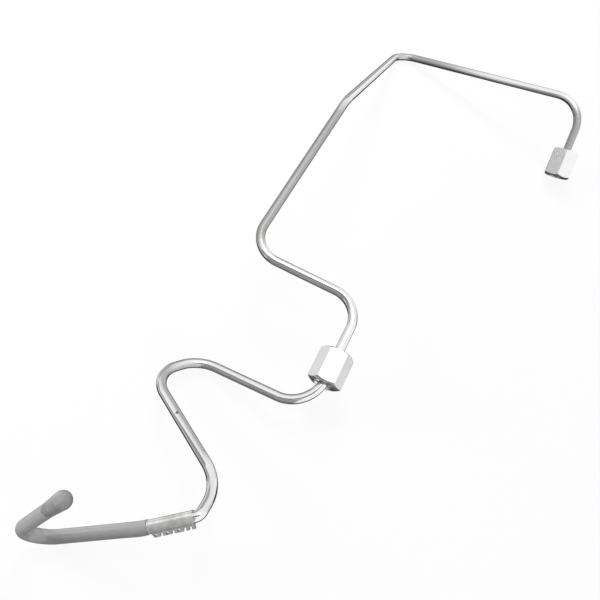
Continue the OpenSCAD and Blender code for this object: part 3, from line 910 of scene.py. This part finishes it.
class BENTTUBE_OT_cap(bpy.types.Operator):
    """Turns the rounded cap, with its cavity over the lower head"""

    bl_idname = "bent_tube.cap"
    bl_label = "End cap"

    def execute(self, context):
        settings = context.scene.bent_tube
        sizes, tube, sides = settings.sleeve, settings.tube, settings.tube.sides
        leg = ROUTE.leg_of["bend_12"]
        begin = cap_place(settings)
        tip = ROUTE.leg_length[leg] - begin
        gap = sizes.fit / 2
        inner, room = tube.outside / 2 + sizes.fit, tube.lower_head / 2 + gap
        mouth = inner + sizes.wall + sizes.cap_rise
        wide = room + sizes.cap_wall
        land = tip - tube.head_cone
        back = land - tube.head_land
        cavity = [
            (tip + gap, tube.head_tip / 2 + gap), (land, room), (back - gap, room),
            (back - (room - inner) - gap, inner), (sizes.lean_reach, inner), (0, inner)]
        taper = np.linspace((sizes.lip, mouth), (sizes.cap_length, wide), TAPER_ROWS)
        angle = np.linspace(0, math.pi / 2, DOME_ROWS)[1:-1]
        dome = [(sizes.cap_length + sizes.dome * math.sin(a), wide * math.cos(a)) for a in angle]
        profile = np.array([*cavity, (0, mouth - sizes.lip), *taper, *dome])
        points = revolve(profile, sides)
        _, lean = tip_leg_lean(sizes, sides)
        points[..., 2] += smoothstep(1 - profile[:, :1] / sizes.lean_reach) * lean
        origin, axes = ROUTE.leg_axes(leg, begin)
        along = np.concatenate([[0], np.cumsum(np.linalg.norm(np.diff(profile, axis=0), axis=1))])
        ends = [np.array((0, 0, z)) @ axes + origin for z in (tip + gap, sizes.cap_length + sizes.dome)]
        mesh = grid_mesh("end_cap_dressed", points @ axes + origin, along, tips=ends)
        material = moulded_grey(settings.finish, "cap", grain_scale=1900.0)
        add_piece(mesh.name, mesh, material, "pipe", "end_cap")
        return {"FINISHED"}


class BENTTUBE_OT_crimp(bpy.types.Operator):
    """Gives the stamped crimp sleeve its steel"""

    bl_idname = "bent_tube.crimp"
    bl_label = "Crimp sleeve"

    def execute(self, context):
        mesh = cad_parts["crimp_sleeve"].data
        mesh.materials.clear()
        mesh.materials.append(bare_steel(context.scene.bent_tube.finish))
        return {"FINISHED"}


def camera_path(graph):
    """Mask of rays that come from the camera, or reach it by reflection or through glass."""
    path = graph.add("ShaderNodeLightPath").outputs
    seen = graph.math("MAXIMUM", path["Is Camera Ray"], path["Is Glossy Ray"])
    return graph.math("MAXIMUM", seen, path["Is Transmission Ray"])


def floor_material(studio):
    """Pale floor: white with a faint shadow to the camera, a middle tone for the light it throws back.

    The shadow fades out with the distance from the object, so the floor has no edge in any view."""
    material = bpy.data.materials.new("pale_floor")
    graph = empty_graph(material)
    tone = graph.add("ShaderNodeBsdfDiffuse", {"Color": (*studio.floor_tone, 1.0)})
    white = graph.add("ShaderNodeBsdfDiffuse", {"Color": WHITE})
    glow = graph.add("ShaderNodeEmission", {"Strength": 1.0})
    place = graph.add("ShaderNodeTexCoord").outputs["Object"]
    away = graph.vector("LENGTH", place, output="Value")
    shadow = graph.ramp(away, studio.shade_near, studio.shade_far, studio.shade, 0.0)
    shown = graph.add("ShaderNodeMixShader", {0: shadow, 1: glow.outputs[0], 2: white.outputs[0]})
    mixed = graph.add("ShaderNodeMixShader", {
        0: camera_path(graph), 1: tone.outputs[0], 2: shown.outputs[0]})
    graph.add("ShaderNodeOutputMaterial", {"Surface": mixed.outputs[0]})
    return material


def compass(azimuth, height=0.0):
    """Unit direction from degrees clockwise from +y and degrees above the floor."""
    turn, rise = math.radians(azimuth), math.radians(height)
    return (math.sin(turn) * math.cos(rise), math.cos(turn) * math.cos(rise), math.sin(rise))


def room_tone(graph, studio):
    """Tone of the room in each direction, as bright metal mirrors it.

    The tone goes up in straight steps with the sine of the height: dark table straight below, pale table
    at a slant, pale walls, white ceiling. The sides at the back and at the front are darker, part of the
    table is pale further down, and the windows are white. Each side has soft edges."""
    way = graph.add("ShaderNodeTexCoord").outputs["Generated"]
    rise = graph.add("ShaderNodeSeparateXYZ", {0: way}).outputs["Z"]
    level = graph.vector("NORMALIZE", graph.vector("MULTIPLY", way, (1.0, 1.0, 0.0)))

    def side(azimuth, half, low, high):
        """Mask of one side of the room."""
        facing = graph.vector("DOT_PRODUCT", level, compass(azimuth), "Value")
        outer, inner = (math.cos(math.radians(half + blur)) for blur in (SIDE_BLUR, -SIDE_BLUR))
        tall = graph.math("MULTIPLY", graph.ramp(rise, low - EDGE_BLUR, low + EDGE_BLUR),
                          graph.ramp(rise, high + EDGE_BLUR, high - EDGE_BLUR))
        return graph.math("MULTIPLY", graph.ramp(facing, outer, inner), tall)

    def mix(mask, first, second):
        """Value between two values."""
        return graph.math("ADD", graph.math("MULTIPLY", graph.math("SUBTRACT", 1.0, mask), first),
                          graph.math("MULTIPLY", mask, second))

    tones = studio.below, studio.aside, studio.wall, studio.ceiling
    tone = tones[0]
    for (low, high), before, after in zip(ROOM_STEPS, tones, tones[1:]):
        tone = graph.math("ADD", tone, graph.ramp(rise, low, high, 0.0, after - before))
    front = graph.ramp(rise, *FRONT_RISE, studio.front_low, studio.front_high)
    for sides, shown in ((BACK_SIDES, studio.back), (FRONT_SIDES, front), (TABLE_SIDES, studio.aside),
                         (WINDOW_SIDES, studio.window)):
        for place in sides:
            tone = mix(side(*place), tone, shown)
    return tone


def add_card(name, corners, tone):
    """Flat card that only mirrored rays see, as a studio flag draws a dark band on bright metal."""
    mesh = bpy.data.meshes.new(name)
    mesh.from_pydata(corners, [], [tuple(range(len(corners)))])
    material = bpy.data.materials.new(name)
    graph = empty_graph(material)
    glow = graph.add("ShaderNodeEmission", {"Color": (tone, tone, tone, 1.0), "Strength": 1.0})
    graph.add("ShaderNodeOutputMaterial", {"Surface": glow.outputs[0]})
    mesh.materials.append(material)
    card = bpy.data.objects.new(name, mesh)
    bpy.context.scene.collection.objects.link(card)
    card.visible_camera = card.visible_diffuse = card.visible_shadow = False
    card.visible_transmission = card.visible_volume_scatter = False


def add_lamp(name, watts, size, ray, away):
    """Square lamp in the direction of a ray from the object's middle, pointing back at it."""
    lamp = bpy.data.lights.new(name, "AREA")
    lamp.energy, lamp.size = watts, size
    holder = bpy.data.objects.new(name, lamp)
    holder.matrix_world = Matrix.LocRotScale(ray * away, ray.to_track_quat("Z", "Y"), None)
    bpy.context.scene.collection.objects.link(holder)
    return holder


class BENTTUBE_OT_stage(bpy.types.Operator):
    """Sets up the pale floor, the room light, the lamps and the camera"""

    bl_idname = "bent_tube.stage"
    bl_label = "Studio"

    def execute(self, context):
        scene, studio = context.scene, context.scene.bent_tube.studio
        scene.view_settings.view_transform = "Standard"
        angle = once_round(FLOOR_SIDES)
        rim = np.stack([np.cos(angle), np.sin(angle), np.zeros_like(angle)], axis=-1) * studio.floor
        mesh = bpy.data.meshes.new("floor")
        mesh.from_pydata(rim.tolist(), [], [tuple(range(len(rim)))])
        mesh.materials.append(floor_material(studio))
        floor = bpy.data.objects.new("floor", mesh)
        scene.collection.objects.link(floor)
        floor.visible_glossy = False

        world = bpy.data.worlds.new("even_room")
        graph = empty_graph(world)
        path = graph.add("ShaderNodeLightPath").outputs
        even, mirrored, shown = (
            graph.add("ShaderNodeBackground", {"Color": WHITE, "Strength": strength})
            for strength in (studio.sky, room_tone(graph, studio), 1.0))
        mixed = graph.add("ShaderNodeMixShader", {
            0: path["Is Glossy Ray"], 1: even.outputs[0], 2: mirrored.outputs[0]})
        mixed = graph.add("ShaderNodeMixShader", {
            0: graph.math("MAXIMUM", path["Is Camera Ray"], path["Is Transmission Ray"]),
            1: mixed.outputs[0], 2: shown.outputs[0]})
        graph.add("ShaderNodeOutputWorld", {"Surface": mixed.outputs[0]})
        scene.world = world

        for name, (azimuth, height, in_metal) in LAMPS.items():
            ray = Vector(compass(azimuth, height))
            lamp = add_lamp(name, getattr(studio, name), studio.lamp_size, ray, studio.lamp_away)
            lamp.visible_glossy = in_metal
        for name, corners in CARDS.items():
            add_card(name, corners, getattr(studio, name))

        camera = bpy.data.cameras.new("camera")
        camera.lens, camera.sensor_width = studio.lens, studio.sensor
        camera.clip_start, camera.clip_end = 0.01, 20
        holder = bpy.data.objects.new("camera", camera)
        holder.matrix_world = Matrix(CAMERA_PLACE)
        scene.collection.objects.link(holder)
        scene.camera = holder
        return {"FINISHED"}


OPERATORS = (BENTTUBE_OT_tube, BENTTUBE_OT_nuts, BENTTUBE_OT_crimp, BENTTUBE_OT_sleeve, BENTTUBE_OT_cap,
             BENTTUBE_OT_stage)


class BENTTUBE_PT_panel(bpy.types.Panel):
    """Lists the steps that build the bent tube"""

    bl_idname = "BENTTUBE_PT_panel"
    bl_label = "Bent tube"
    bl_space_type = "VIEW_3D"
    bl_region_type = "UI"
    bl_category = "Bent tube"

    def draw(self, context):
        for step in OPERATORS:
            self.layout.operator(step.bl_idname)


CLASSES = (TubeSizes, NutSizes, SleeveSizes, Finishes, Studio, BentTube, *OPERATORS, BENTTUBE_PT_panel)


def register():
    """Registers the classes and hangs the settings on the scene."""
    for part in CLASSES:
        bpy.utils.register_class(part)
    bpy.types.Scene.bent_tube = PointerProperty(type=BentTube)


def unregister():
    """Takes the settings and the classes away again."""
    del bpy.types.Scene.bent_tube
    for part in reversed(CLASSES):
        bpy.utils.unregister_class(part)


def main():
    """Builds every piece in order, then the studio."""
    register()
    bpy.ops.bent_tube.tube()
    bpy.ops.bent_tube.nuts()
    bpy.ops.bent_tube.crimp()
    bpy.ops.bent_tube.sleeve()
    bpy.ops.bent_tube.cap()
    bpy.ops.bent_tube.stage()


if __name__ == "__main__":
    main()
